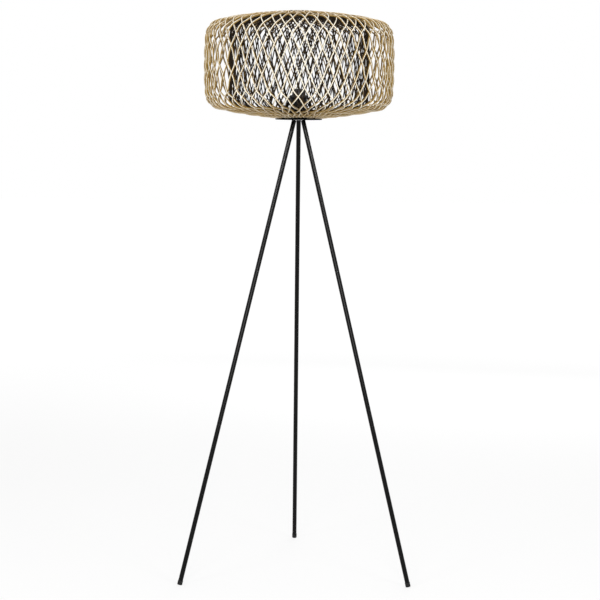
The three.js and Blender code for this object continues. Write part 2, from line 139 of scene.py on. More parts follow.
class InnerDrumSettings(bpy.types.PropertyGroup):
    """Black inner drum of the shade."""

    strands: IntProperty(name="Strands", description="Strands that wind each way", default=64, min=12)
    width: FloatProperty(name="Strand width", description="Width of a strand", default=0.0029, unit="LENGTH")
    thickness: FloatProperty(
        name="Strand thickness", description="Thickness of a strand", default=0.0019, unit="LENGTH"
    )
    radius: FloatProperty(
        name="Radius", description="Radius of the drum's middle surface", default=0.183, unit="LENGTH"
    )
    bulge: FloatProperty(name="Bulge", description="How far the side swells", default=0.0015, unit="LENGTH")
    corner: FloatProperty(name="Corner", description="Radius of the shoulders", default=0.024, unit="LENGTH")
    shoulder: FloatProperty(
        name="Shoulder height",
        description="Height of the shoulders from the middle",
        default=0.1112,
        unit="LENGTH",
    )
    slope: FloatProperty(name="Slope", description="Rise of the cones for each metre inwards", default=0.24)
    end_radius: FloatProperty(
        name="End radius", description="Radius at which the strands end", default=0.0526, unit="LENGTH"
    )
    end_height: FloatProperty(
        name="End height",
        description="Height of the strands' ends from the middle",
        default=0.1328,
        unit="LENGTH",
    )
    cone_turn: FloatProperty(
        name="Cone turn",
        description="Turn round the axis on each cone",
        default=math.radians(20),
        subtype="ANGLE",
    )
    corner_turn: FloatProperty(
        name="Corner turn",
        description="Turn round the axis on each shoulder",
        default=math.radians(4),
        subtype="ANGLE",
    )
    side_turn: FloatProperty(
        name="Side turn",
        description="Turn round the axis on the side",
        default=math.radians(14),
        subtype="ANGLE",
    )
    unevenness: FloatProperty(
        name="Unevenness", description="How far a strand strays from its line", default=0.0052, unit="LENGTH"
    )
    stain_colour: FloatVectorProperty(
        name="Stain", description="Black stain of the cane", subtype="COLOR", default=(0.010, 0.008, 0.006)
    )
    worn_colour: FloatVectorProperty(
        name="Thin stain",
        description="Brown that shows where the stain is thin",
        subtype="COLOR",
        default=(0.060, 0.040, 0.023),
    )


class TripodSettings(bpy.types.PropertyGroup):
    """Steel tripod and the plate that it carries."""

    tube_radius: FloatProperty(
        name="Tube radius", description="Outer radius of the legs", default=0.006, unit="LENGTH"
    )
    tube_wall: FloatProperty(name="Tube wall", description="Wall of the legs", default=0.001, unit="LENGTH")
    sections: IntProperty(name="Sections", description="Tubes in each leg", default=3, min=1)
    joint_gap: FloatProperty(
        name="Joint gap", description="Seam between two tubes", default=0.0003, unit="LENGTH"
    )
    top_radius: FloatProperty(
        name="Top radius", description="Radius at which the legs meet the plate", default=0.013, unit="LENGTH"
    )
    foot_circle: FloatProperty(
        name="Foot circle", description="Radius of the circle of the feet", default=0.34, unit="LENGTH"
    )
    foot_radius: FloatProperty(
        name="Foot radius", description="Radius of the foot caps", default=0.0067, unit="LENGTH"
    )
    foot_height: FloatProperty(
        name="Foot height", description="Length of the foot caps", default=0.012, unit="LENGTH"
    )
    foot_plug: FloatProperty(
        name="Foot plug", description="Length of the cap's plug in the tube", default=0.014, unit="LENGTH"
    )
    foot_drop: FloatProperty(
        name="Foot trim", description="Height trimmed off the end of a leg", default=0.0005, unit="LENGTH"
    )
    rim: FloatProperty(name="Rim", description="Rounding of the tubes' ends", default=0.0004, unit="LENGTH")
    steel_colour: FloatVectorProperty(
        name="Steel", description="Black powder coat", subtype="COLOR", default=(0.0012, 0.0012, 0.0012)
    )


class ShadeMetalSettings(bpy.types.PropertyGroup):
    """Steel rings that hold the ends of the strands."""

    flange_radius: FloatProperty(
        name="Lower flange", description="Outer radius of the lower flange", default=0.0615, unit="LENGTH"
    )
    flange_bore: FloatProperty(
        name="Lower bore", description="Inner radius of the lower flange", default=0.044, unit="LENGTH"
    )
    top_radius: FloatProperty(
        name="Top ring", description="Outer radius of the top ring", default=0.0597, unit="LENGTH"
    )
    collar_radius: FloatProperty(
        name="Collar", description="Outer radius of both collars", default=0.052, unit="LENGTH"
    )
    collar_height: FloatProperty(
        name="Collar height", description="Height of both collars", default=0.0075, unit="LENGTH"
    )
    sheet: FloatProperty(
        name="Sheet", description="Thickness of the sheet steel", default=0.0015, unit="LENGTH"
    )
    seat_radius: FloatProperty(
        name="Seat", description="Outer radius of the seat", default=0.0245, unit="LENGTH"
    )
    seat_bore: FloatProperty(name="Seat bore", description="Bore of the seat", default=0.0186, unit="LENGTH")
    arm_width: FloatProperty(name="Arm width", description="Width of the arms", default=0.008, unit="LENGTH")
    arm_bend: FloatProperty(
        name="Arm bend", description="Radius at which the arms bend", default=0.027, unit="LENGTH"
    )
    arm_foot: FloatProperty(
        name="Arm foot", description="Radius at which the arms land", default=0.047, unit="LENGTH"
    )
    arms: IntProperty(name="Arms", description="Arms of the carrier", default=3, min=2)


class HolderSettings(bpy.types.PropertyGroup):
    """Lamp holder and its cup."""

    cup_radius: FloatProperty(
        name="Cup radius", description="Outer radius of the cup", default=0.022, unit="LENGTH"
    )
    cup_wall: FloatProperty(name="Cup wall", description="Wall of the cup", default=0.001, unit="LENGTH")
    cup_corner: FloatProperty(
        name="Cup corner", description="Rounding of the cup's base", default=0.003, unit="LENGTH"
    )
    barrel_radius: FloatProperty(
        name="Barrel radius", description="Outer radius of the barrel", default=0.018, unit="LENGTH"
    )
    barrel_bore: FloatProperty(
        name="Barrel bore", description="Bore of the barrel", default=0.0152, unit="LENGTH"
    )
    thread_pitch: FloatProperty(
        name="Thread pitch", description="Pitch of the barrel's thread", default=0.0028, unit="LENGTH"
    )
    ring_radius: FloatProperty(
        name="Ring radius", description="Outer radius of the retaining ring", default=0.025, unit="LENGTH"
    )
    ring_bore: FloatProperty(
        name="Ring bore", description="Bore of the retaining ring", default=0.0185, unit="LENGTH"
    )
    ring_grips: IntProperty(name="Grips", description="Finger notches of the ring", default=16, min=4)
    shell_radius: FloatProperty(
        name="Lamp shell", description="Outer radius of the lamp shell", default=0.0139, unit="LENGTH"
    )
    shell_pitch: FloatProperty(
        name="Lamp thread", description="Pitch of the lamp shell's thread", default=0.0036, unit="LENGTH"
    )


class StudioSettings(bpy.types.PropertyGroup):
    """Camera, lamps and floor."""

    distance: FloatProperty(
        name="Distance", description="From the camera to the lamp's axis", default=4.15, unit="LENGTH"
    )
    height: FloatProperty(name="Height", description="Height of the camera", default=1.1189, unit="LENGTH")
    lens: FloatProperty(name="Focal length", description="Focal length in millimetres", default=94.356)
    tilt: FloatProperty(
        name="Tilt", description="How far the camera looks down", default=math.radians(3.915), subtype="ANGLE"
    )
    pan: FloatProperty(
        name="Pan",
        description="How far the camera looks to the right",
        default=math.radians(0.101),
        subtype="ANGLE",
    )
    roll: FloatProperty(
        name="Roll",
        description="How far the camera leans to the left",
        default=math.radians(0.589),
        subtype="ANGLE",
    )
    shift: FloatProperty(name="Shift", description="Vertical shift of the lens", default=-0.07)
    key_power: FloatProperty(name="Key", description="Power of the high front strip in watts", default=42)
    front_power: FloatProperty(name="Front", description="Power of the broad front lamp in watts", default=44)
    fill_power: FloatProperty(name="Fill", description="Power of each fill lamp in watts", default=26)
    top_power: FloatProperty(name="Top", description="Power of the lamp above in watts", default=14)
    back_power: FloatProperty(name="Back", description="Power of the lamp behind in watts", default=30)
    ambient: FloatProperty(name="Ambient", description="Strength of the light from all round", default=0.42)
    near_glow: FloatProperty(
        name="Near glow", description="Brightness added to the floor round the lamp, as seen", default=0.72
    )
    far_glow: FloatProperty(
        name="Far glow", description="Brightness added to the floor far away, as seen", default=0.9
    )


SETTINGS = {
    "lamp_outer_drum": OuterDrumSettings,
    "lamp_inner_drum": InnerDrumSettings,
    "lamp_tripod": TripodSettings,
    "lamp_shade_metal": ShadeMetalSettings,
    "lamp_holder": HolderSettings,
    "lamp_studio": StudioSettings,
}


# Shader maths.


class Link:
    """An output socket, with arithmetic that adds Math nodes to its recipe."""

    def __init__(self, recipe, socket):
        self.recipe = recipe
        self.socket = socket

    def math(self, operation, *values):
        inputs = dict(enumerate(values))
        return self.recipe.add("ShaderNodeMath", {"operation": operation}, inputs)

    def __add__(self, other):
        return self.math("ADD", self, other)

    def __radd__(self, other):
        return self.math("ADD", other, self)

    def __sub__(self, other):
        return self.math("SUBTRACT", self, other)

    def __rsub__(self, other):
        return self.math("SUBTRACT", other, self)

    def __mul__(self, other):
        return self.math("MULTIPLY", self, other)

    def __rmul__(self, other):
        return self.math("MULTIPLY", other, self)

    def __abs__(self):
        return self.math("ABSOLUTE", self)

    def fraction(self):
        return self.math("FRACT", self)

    def floor(self):
        return self.math("FLOOR", self)

    def larger(self, other):
        return self.math("MAXIMUM", self, other)


class Recipe:
    """A node tree under construction."""

    def __init__(self, owner):
        owner.use_nodes = True
        self.tree = owner.node_tree
        self.tree.nodes.clear()

    def add(self, kind, settings=None, values=None, output=0):
        """Adds a node with its settings and the values or links of its sockets."""
        node = self.tree.nodes.new(kind)
        for name, value in (settings or {}).items():
            setattr(node, name, value)
        for name, value in (values or {}).items():
            if isinstance(value, Link):
                self.tree.links.new(value.socket, node.inputs[name])
            else:
                node.inputs[name].default_value = value
        return Link(self, node.outputs[output]) if node.outputs else None

    def place(self):
        return self.add("ShaderNodeTexCoord", output="Object")

    def up(self):
        """Height above the floor."""
        return self.add("ShaderNodeSeparateXYZ", values={0: self.place()}, output=2)

    def stretched(self, vector, scale):
        return self.add("ShaderNodeMapping", {"vector_type": "TEXTURE"}, {"Vector": vector, "Scale": scale})

    def noise(self, vector, scale, detail=2.0, roughness=0.5):
        values = {"Vector": vector, "Scale": scale, "Detail": detail, "Roughness": roughness}
        return self.add("ShaderNodeTexNoise", values=values)

    def spread(self, value, low, high, to_low=0.0, to_high=1.0):
        values = {"Value": value, "From Min": low, "From Max": high, "To Min": to_low, "To Max": to_high}
        return self.add("ShaderNodeMapRange", {"interpolation_type": "SMOOTHSTEP"}, values)

    def blend(self, share, first, second):
        return self.add("ShaderNodeMix", {"data_type": "RGBA"}, {0: share, 6: first, 7: second}, output=2)

    def tinted(self, share, colour, tint):
        settings = {"data_type": "RGBA", "blend_type": "MULTIPLY"}
        return self.add("ShaderNodeMix", settings, {0: share, 6: colour, 7: tint}, output=2)

    def bump(self, height, distance, strength):
        values = {"Height": height, "Distance": distance, "Strength": strength}
        return self.add("ShaderNodeBump", values=values)

    def roughness(self, pattern, smooth, rough):
        """Roughness that follows a pattern between two values."""
        return self.spread(pattern, 0.3, 0.7, smooth, rough)

    def seen(self):
        """1 where the camera looks, straight or by way of gloss or glass, and 0 for light on its way."""
        rays = self.tree.nodes.new("ShaderNodeLightPath")
        seen = Link(self, rays.outputs["Is Camera Ray"])
        for ray in ("Is Glossy Ray", "Is Transmission Ray"):
            seen = seen.larger(Link(self, rays.outputs[ray]))
        return seen

    def surface(self, values):
        shader = self.add("ShaderNodeBsdfPrincipled", values=values)
        self.add("ShaderNodeOutputMaterial", values={"Surface": shader})


def opaque(colour):
    return (*colour, 1.0)


def strand_marks(recipe):
    """Distance along the strand, its number and the place across it, from the strand's own map."""
    strand = recipe.add("ShaderNodeUVMap", {"uv_map": "strand"})
    parts = recipe.tree.nodes.new("ShaderNodeSeparateXYZ")
    recipe.tree.links.new(strand.socket, parts.inputs[0])
    along = Link(recipe, parts.outputs["X"])
    number = Link(recipe, parts.outputs["Y"])
    return strand, along, number.floor(), number.fraction()


def strand_chance(recipe, number):
    """A number from 0 to 1 that each strand keeps along its whole length."""
    return recipe.add("ShaderNodeTexWhiteNoise", {"noise_dimensions": "1D"}, {"W": number})


def cane_ring(recipe, along, chance, to_metre, stagger):
    """1 at the thin rings where leaves once grew, so many to the metre and at each strand's own places."""
    return recipe.spread(abs((along * to_metre + chance * stagger).fraction() - 0.5), 0.006, 0.0)


def cane_relief(fibres, ring, across):
    """Height of the cane's surface: fibres, raised rings and a fall towards both edges."""
    return fibres * 0.6 + ring * 0.8 - abs(across - 0.5) * 0.3


def natural_cane(recipe):
    """Split cane: pale skin outside, golden heart inside and at the edges, with painted shade that makes the
    skin warmer and darker on the shoulders and cones.
    """
    drum = bpy.context.scene.lamp_outer_drum
    strand, along, number, across = strand_marks(recipe)
    chance = strand_chance(recipe, number)
    height = recipe.add("ShaderNodeAttribute", {"attribute_name": "skin"}, output="Fac")
    skin = recipe.spread(height, 0.72, 0.98)
    fibres = recipe.noise(recipe.stretched(strand, (0.035, 0.09, 1)), 1.0, 3.0, 0.65)
    clouds = recipe.noise(recipe.stretched(strand, (0.11, 0.7, 1)), 1.0, 2.0)
    pale = opaque(drum.skin_colour)
    gold = opaque(drum.heart_colour)
    # Warm colour for the strands' random changes of tone, and also the colour of the painted shade on the
    # shoulders and cones.
    warm_tone_and_shade = (0.64, 0.43, 0.15, 1)
    skin_streak, heart_streak = (0.70, 0.58, 0.40, 1), (0.58, 0.47, 0.33, 1)
    ring_brown = (0.42, 0.28, 0.17, 1)
    # Painted shade: towards the top and bottom of the drum, on the shoulders and cones, the skin's tone is
    # pushed to the warm, darker colour.
    shoulders = recipe.spread(abs(recipe.up() - SHADE_MIDDLE), 0.1, 0.13)
    tone = recipe.spread(clouds + chance * 0.35 + shoulders * 0.4, 0.75, 1.15, 0.0, 0.85)
    skin_tone = recipe.blend(tone, pale, warm_tone_and_shade)
    streaked = recipe.tinted(recipe.spread(fibres, 0.45, 0.72, 0.0, 0.35), skin_tone, skin_streak)
    heart_tone = recipe.tinted(recipe.spread(fibres, 0.38, 0.7, 0.1, 0.7), gold, heart_streak)
    body = recipe.blend(skin, heart_tone, streaked)
    ring = cane_ring(recipe, along, chance, 3.4, 7.0)
    colour = recipe.tinted(ring * 0.75, body, ring_brown)
    relief = cane_relief(fibres, ring, across)
    recipe.surface(
        {
            "Base Color": colour,
            "Roughness": recipe.roughness(fibres, 0.34, 0.52),
            "Specular IOR Level": 0.5,
            "Coat Weight": 0.2,
            "Coat Roughness": 0.35,
            "Normal": recipe.bump(relief, 0.0002, 0.7),
        }
    )


def black_cane(recipe):
    """Split cane stained black, with brown where the stain is thin."""
    drum = bpy.context.scene.lamp_inner_drum
    strand, along, number, across = strand_marks(recipe)
    chance = strand_chance(recipe, number)
    fibres = recipe.noise(recipe.stretched(strand, (0.03, 0.08, 1)), 1.0, 3.0, 0.65)
    clouds = recipe.noise(recipe.stretched(strand, (0.09, 0.8, 1)), 1.0, 2.0)
    thin = recipe.spread(fibres + clouds * 0.6 + chance * 0.25, 0.75, 1.25, 0.05, 0.95)
    ring = cane_ring(recipe, along, chance, 3.1, 5.0)
    colour = recipe.blend(thin, opaque(drum.stain_colour), opaque(drum.worn_colour))
    relief = cane_relief(fibres, ring, across)
    recipe.surface(
        {
            "Base Color": colour,
            "Roughness": recipe.roughness(fibres, 0.6, 0.8),
            "Specular IOR Level": 0.06,
            "Normal": recipe.bump(relief, 0.0002, 0.7),
        }
    )


def black_steel(recipe):
    """Black powder coat: a faint orange peel and a satin sheen."""
    place = recipe.place()
    peel = recipe.noise(place, 1400.0, 2.0, 0.6)
    patches = recipe.noise(place, 22.0, 3.0)
    steel = opaque(bpy.context.scene.lamp_tripod.steel_colour)
    dust, dust_grey = recipe.spread(patches, 0.45, 0.75, 0.0, 0.3), (0.006, 0.006, 0.0058, 1)
    recipe.surface(
        {
            "Base Color": recipe.blend(dust, steel, dust_grey),
            "Roughness": recipe.roughness(patches, 0.13, 0.18),
            "Specular IOR Level": 0.13,
            "Normal": recipe.bump(peel, 0.00006, 0.5),
        }
    )


def matt_steel(recipe):
    """Black powder coat without sheen, for the plate that is seen edge on."""
    place = recipe.place()
    peel = recipe.noise(place, 1400.0, 2.0, 0.6)
    patches = recipe.noise(place, 40.0, 3.0)
    steel = opaque(bpy.context.scene.lamp_tripod.steel_colour)
    dust, dust_grey = recipe.spread(patches, 0.4, 0.75, 0.0, 0.5), (0.008, 0.008, 0.0078, 1)
    recipe.surface(
        {
            "Base Color": recipe.blend(dust, steel, dust_grey),
            "Roughness": recipe.roughness(patches, 0.55, 0.7),
            "Specular IOR Level": 0.0,
            "Normal": recipe.bump(peel, 0.00006, 0.5),
        }
    )


def bare_steel(recipe):
    """Zinc plated steel with fine turning marks."""
    place = recipe.place()
    marks = recipe.noise(recipe.stretched(place, (1, 1, 0.03)), 60.0, 3.0)
    patches = recipe.noise(place, 90.0, 3.0)
    bright_zinc, dull_zinc = (0.52, 0.53, 0.54, 1), (0.38, 0.39, 0.40, 1)
    recipe.surface(
        {
            "Base Color": recipe.blend(patches, bright_zinc, dull_zinc),
            "Metallic": 1.0,
            "Roughness": recipe.roughness(marks, 0.26, 0.44),
            "Normal": recipe.bump(marks, 0.00005, 0.5),
        }
    )


def black_rubber(recipe):
    """Matt rubber with a trace of floor dust."""
    place = recipe.place()
    grain = recipe.noise(place, 900.0, 3.0, 0.6)
    dust = recipe.spread(recipe.noise(place, 120.0, 3.0), 0.5, 0.8, 0.0, 0.5)
    rubber, dust_grey = (0.011, 0.011, 0.011, 1), (0.040, 0.038, 0.035, 1)
    recipe.surface(
        {
            "Base Color": recipe.blend(dust, rubber, dust_grey),
            "Roughness": recipe.roughness(grain, 0.72, 0.9),
            "Specular IOR Level": 0.25,
            "Normal": recipe.bump(grain, 0.0001, 0.6),
        }
    )


def black_plastic(recipe):
    """Moulded black plastic with faint flow marks."""
    place = recipe.place()
    grain = recipe.noise(place, 1100.0, 2.0)
    flow = recipe.noise(recipe.stretched(place, (1, 1, 0.2)), 45.0, 3.0)
    black, worn_black = (0.013, 0.013, 0.013, 1), (0.024, 0.023, 0.022, 1)
    recipe.surface(
        {
            "Base Color": recipe.blend(flow, black, worn_black),
            "Roughness": recipe.roughness(flow, 0.36, 0.5),
            "Normal": recipe.bump(grain, 0.00005, 0.4),
        }
    )


def pale_ceramic(recipe):
    """Glazed ceramic, off white with small specks."""
    place = recipe.place()
    clouds = recipe.noise(place, 160.0, 3.0)
    specks = recipe.spread(recipe.noise(place, 1500.0, 1.0), 0.72, 0.78)
    light_glaze, dark_glaze, speck_brown = (0.74, 0.70, 0.62, 1), (0.66, 0.61, 0.52, 1), (0.45, 0.38, 0.30, 1)
    glaze = recipe.blend(clouds, light_glaze, dark_glaze)
    recipe.surface(
        {
            "Base Color": recipe.tinted(specks * 0.6, glaze, speck_brown),
            "Roughness": recipe.roughness(clouds, 0.22, 0.38),
            "Coat Weight": 0.3,
            "Normal": recipe.bump(clouds, 0.0001, 0.3),
        }
    )


def lamp_brass(recipe):
    """Drawn brass, a little dull with age."""
    place = recipe.place()
    dull = recipe.noise(place, 140.0, 4.0, 0.6)
    lines = recipe.noise(recipe.stretched(place, (1, 1, 0.02)), 50.0, 3.0)
    bright_brass, dull_brass = (0.68, 0.46, 0.18, 1), (0.40, 0.26, 0.11, 1)
    recipe.surface(
        {
            "Base Color": recipe.blend(recipe.spread(dull, 0.35, 0.7), bright_brass, dull_brass),
            "Metallic": 1.0,
            "Roughness": recipe.spread(lines + dull, 0.7, 1.3, 0.22, 0.42),
            "Normal": recipe.bump(lines, 0.00004, 0.5),
        }
    )


def studio_floor(recipe):
    """Pale floor that the camera sees as white, with the lamp's shadow kept."""
    studio = bpy.context.scene.lamp_studio
    near, far = 1.2, 6.0
    pale_grey, mid_grey = (0.78, 0.78, 0.78, 1), (0.30, 0.30, 0.30, 1)
    seen = recipe.seen()
    matt = recipe.add("ShaderNodeBsdfDiffuse", values={"Color": recipe.blend(seen, pale_grey, mid_grey)})
    place = {0: recipe.place()}
    distance = recipe.add("ShaderNodeVectorMath", {"operation": "LENGTH"}, place, output="Value")
    strength = recipe.spread(distance, near, far, studio.near_glow, studio.far_glow)
    glow = recipe.add("ShaderNodeEmission", values={"Strength": seen * strength})
    both = recipe.add("ShaderNodeAddShader", values={0: matt, 1: glow})
    recipe.add("ShaderNodeOutputMaterial", values={"Surface": both})


def white_surroundings(recipe):
    """Even light from all round, seen as white."""
    ambient = bpy.context.scene.lamp_studio.ambient
    strength = recipe.seen() * (1.0 - ambient) + ambient
    background = recipe.add("ShaderNodeBackground", values={"Color": (1, 1, 1, 1), "Strength": strength})
    recipe.add("ShaderNodeOutputWorld", values={"Surface": background})


FINISHES = {
    "natural_cane": natural_cane,
    "black_cane": black_cane,
    "black_steel": black_steel,
    "matt_steel": matt_steel,
    "bare_steel": bare_steel,
    "black_rubber": black_rubber,
    "black_plastic": black_plastic,
    "pale_ceramic": pale_ceramic,
    "lamp_brass": lamp_brass,
    "studio_floor": studio_floor,
}


def finish(name):
    """The material of that name, made the first time that it is asked for."""
    material = bpy.data.materials.get("finish_" + name)
    if material is None:
        material = bpy.data.materials.new("finish_" + name)
        FINISHES[name](Recipe(material))
    return material


def paint(piece, name):
    piece.data.materials.clear()
    piece.data.materials.append(finish(name))


def settle(piece, body, slot, *replaced):
    """Paints a finished piece, rides it on its body and hides the nodes that it stands for."""
    paint(piece, slot)
    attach(piece, body)
    if replaced:
        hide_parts(*replaced)


# Modelling by hand.


def clear_selection():
    bpy.ops.object.select_all(action="DESELECT")


def only(*pieces):
    """Selects these pieces alone and makes the first one active."""
    clear_selection()
    for piece in pieces:
        piece.select_set(True)
    bpy.context.view_layer.objects.active = pieces[0]


def edit(piece, mode="VERT"):
    only(piece)
    bpy.ops.object.mode_set(mode="EDIT")
    bpy.ops.mesh.select_mode(type=mode)
    bpy.ops.mesh.select_all(action="DESELECT")


def leave():
    bpy.ops.object.mode_set(mode="OBJECT")


def pick(piece, kind, test):
    """Selects the vertices, edges or faces that pass the test, in edit mode."""
    mesh = bmesh.from_edit_mesh(piece.data)
    for element in getattr(mesh, kind):
        element.select_set(bool(test(element)))
    bmesh.update_edit_mesh(piece.data)


def apply_place(piece):
    only(piece)
    bpy.ops.object.transform_apply(location=True, rotation=True, scale=True)


def set_down(piece, matrix):
    """Puts a piece in its place and keeps the place in its mesh."""
    piece.matrix_world = matrix
    apply_place(piece)


def with_modifier(piece, kind, **settings):
    only(piece)
    modifier = piece.modifiers.new(kind.lower(), kind)
    for name, value in settings.items():
        setattr(modifier, name, value)
    bpy.ops.object.modifier_apply(modifier=modifier.name)


def tidy(piece, smooth=35):
    """Merges doubles, turns the faces outwards and smooths all but the sharp edges."""
    edit(piece)
    bpy.ops.mesh.select_all(action="SELECT")
    bpy.ops.mesh.remove_doubles(threshold=HAIR)
    bpy.ops.mesh.normals_make_consistent(inside=False)
    leave()
    only(piece)
    bpy.ops.object.shade_smooth_by_angle(angle=math.radians(smooth))


def eased(piece, width, segments=2, angle=40):
    """Rounds the sharp edges."""
    limit = math.radians(angle)
    with_modifier(piece, "BEVEL", width=width, segments=segments, limit_method="ANGLE", angle_limit=limit)


def copied(piece, name):
    twin = bpy.data.objects.new(name, piece.data.copy())
    bpy.context.scene.collection.objects.link(twin)
    return twin


def joined(name, pieces):
    only(*pieces)
    bpy.ops.object.join()
    whole = bpy.context.object
    whole.name = name
    whole.data.name = name
    return whole


def drawn(name, outline, closed):
    """A line drawn a point at a time, each point extruded from the last."""
    clear_selection()
    bpy.ops.mesh.primitive_plane_add(size=0.001, location=(0, 0, 0))
    piece = bpy.context.object
    piece.name = name
    piece.data.name = name
    bpy.ops.object.mode_set(mode="EDIT")
    bpy.ops.mesh.select_all(action="SELECT")
    bpy.ops.mesh.merge(type="CENTER")
    bpy.ops.transform.translate(value=outline[0])
    for last, point in zip(outline, outline[1:]):
        step = tuple(b - a for a, b in zip(last, point))
        bpy.ops.mesh.extrude_region_move(TRANSFORM_OT_translate={"value": step})
    if closed:
        ends = [Vector(outline[0]), Vector(outline[-1])]
        bpy.ops.mesh.select_all(action="DESELECT")
        pick(piece, "verts", lambda v: min((v.co - end).length for end in ends) < HAIR)
        bpy.ops.mesh.edge_face_add()
    return piece


def turned(name, profile, steps=64, closed=True, smooth=35):
    """A round piece about Z: its profile is drawn in radius and height, and spun."""
    piece = drawn(name, [(radius, 0.0, height) for radius, height in profile], closed)
    bpy.ops.mesh.select_all(action="SELECT")
    bpy.ops.mesh.spin(steps=steps, angle=FULL_TURN, center=(0, 0, 0), axis=(0, 0, 1))
    leave()
    tidy(piece, smooth)
    return piece


def cut_from_sheet(name, outline, width):
    """A flat piece: its outline is drawn in X and Z, filled, and extruded along Y."""
    piece = drawn(name, [(x, -width / 2, z) for x, z in outline], True)
    bpy.ops.mesh.select_all(action="SELECT")
    bpy.ops.mesh.edge_face_add()
    bpy.ops.mesh.extrude_region_move(TRANSFORM_OT_translate={"value": (0, width, 0)})
    leave()
    tidy(piece)
    return piece


def threaded_tube(name, radius, depth, pitch, turns, steps=48):
    """A thin rolled thread: one pitch of its wave, screwed up round the axis."""
    points, middle, swing = 8, radius - depth / 2, depth / 2
    wave = [
        (middle + swing * math.cos(FULL_TURN * i / points), 0.0, pitch * i / points)
        for i in range(points + 1)
    ]
    piece = drawn(name, wave, False)
    leave()
    with_modifier(
        piece,
        "SCREW",
        axis="Z",
        angle=FULL_TURN,
        screw_offset=pitch,
        iterations=turns,
        steps=steps,
        render_steps=steps,
    )
    tidy(piece, 60)
    return piece


def arc(centre, radius, start, end, count):
    """Points of an arc in radius and height, in degrees from outwards to up."""
    angles = [math.radians(start + (end - start) * i / count) for i in range(count + 1)]
    return [(centre[0] + radius * math.cos(a), centre[1] + radius * math.sin(a)) for a in angles]


def on_axis():
    return Matrix.Translation((LAMP_AXIS.x, LAMP_AXIS.y, 0))


# Woven drums.


def bezier(start, control, end):
    t = np.linspace(0.0, 1.0, CURVE_POINTS)[:, None]
    start, control, end = map(np.array, (start, control, end))
    return (1 - t) ** 2 * start + 2 * t * (1 - t) * control + t**2 * end


def drum_stretches(drum):
    """The drum's outline in radius and height, as five stretches from the lower to the upper ring."""
    shoulder_angle = math.pi / 2 - math.atan(drum.slope)
    centre_height = drum.shoulder - drum.corner * math.sin(shoulder_angle)
    side_angle = math.atan2(2 * drum.bulge, centre_height)
    side_height = centre_height + drum.corner * math.sin(side_angle)
    side_end = drum.radius - drum.bulge
    centre_radius = side_end - drum.corner * math.cos(side_angle)
    shoulder_radius = centre_radius + drum.corner * math.cos(shoulder_angle)
    control_radius = (shoulder_radius + drum.end_radius) / 2
    control_height = drum.shoulder + (shoulder_radius - control_radius) * drum.slope
    strand_end = (drum.end_radius, drum.end_height)
    cone = bezier((shoulder_radius, drum.shoulder), (control_radius, control_height), strand_end)
    angles = np.linspace(side_angle, shoulder_angle, CURVE_POINTS)
    round_centre = np.array([centre_radius, centre_height])
    corner = round_centre + drum.corner * np.stack([np.cos(angles), np.sin(angles)], axis=1)
    side = bezier((side_end, -side_height), (side_end + 2 * drum.bulge, 0.0), (side_end, side_height))
    mirror = np.array([1.0, -1.0])
    return [cone[::-1] * mirror, corner[::-1] * mirror, side, corner, cone]


def lengths(points):
    steps = np.linalg.norm(np.diff(points, axis=0), axis=1)
    return np.concatenate([[0.0], np.cumsum(steps)])


class StrandPath:
    """The line that a strand follows: outline, normal and turn round the axis, by distance."""

    def __init__(self, drum, stations):
        stretches = drum_stretches(drum)
        ends = np.cumsum([0.0] + [lengths(stretch)[-1] for stretch in stretches])
        outline = np.concatenate([stretches[0]] + [stretch[1:] for stretch in stretches[1:]])
        places = lengths(outline)
        self.length = places[-1]
        self.distance = np.linspace(0.0, self.length, stations)
        self.radius = np.interp(self.distance, places, outline[:, 0])
        self.height = np.interp(self.distance, places, outline[:, 1])
        run = np.gradient(self.radius, self.distance)
        rise = np.gradient(self.height, self.distance)
        size = np.hypot(run, rise)
        self.run = run / size
        self.rise = rise / size
        self.turn = self.turns(drum, ends)

    def turns(self, drum, ends):
        """Angle from the strand's start. A shoulder turns faster on its half next to the side."""
        wanted = [drum.cone_turn, drum.corner_turn, drum.side_turn, drum.corner_turn, drum.cone_turn]
        rate = np.zeros_like(self.distance)
        for i, turn in enumerate(wanted):
            inside = (self.distance >= ends[i]) & (self.distance <= ends[i + 1])
            weight = 1.0 / self.radius[inside] if i in (0, 4) else np.ones(inside.sum())
            if i in (1, 3):
                share = np.linspace(0.0, 1.0, inside.sum())
                weight = 1.5 - share if i == 3 else 0.5 + share
            rate[inside] = turn * weight / weight.sum()
        smoothed = 0.05  # of the strand, over which its turning changes
        window = np.hanning(max(3, int(smoothed * len(rate)) | 1))
        padded = np.pad(rate, len(window) // 2, mode="edge")
        rate = np.convolve(padded, window / window.sum(), mode="valid")
        turn = np.cumsum(rate) - rate[0]
        return turn * sum(wanted) / turn[-1]


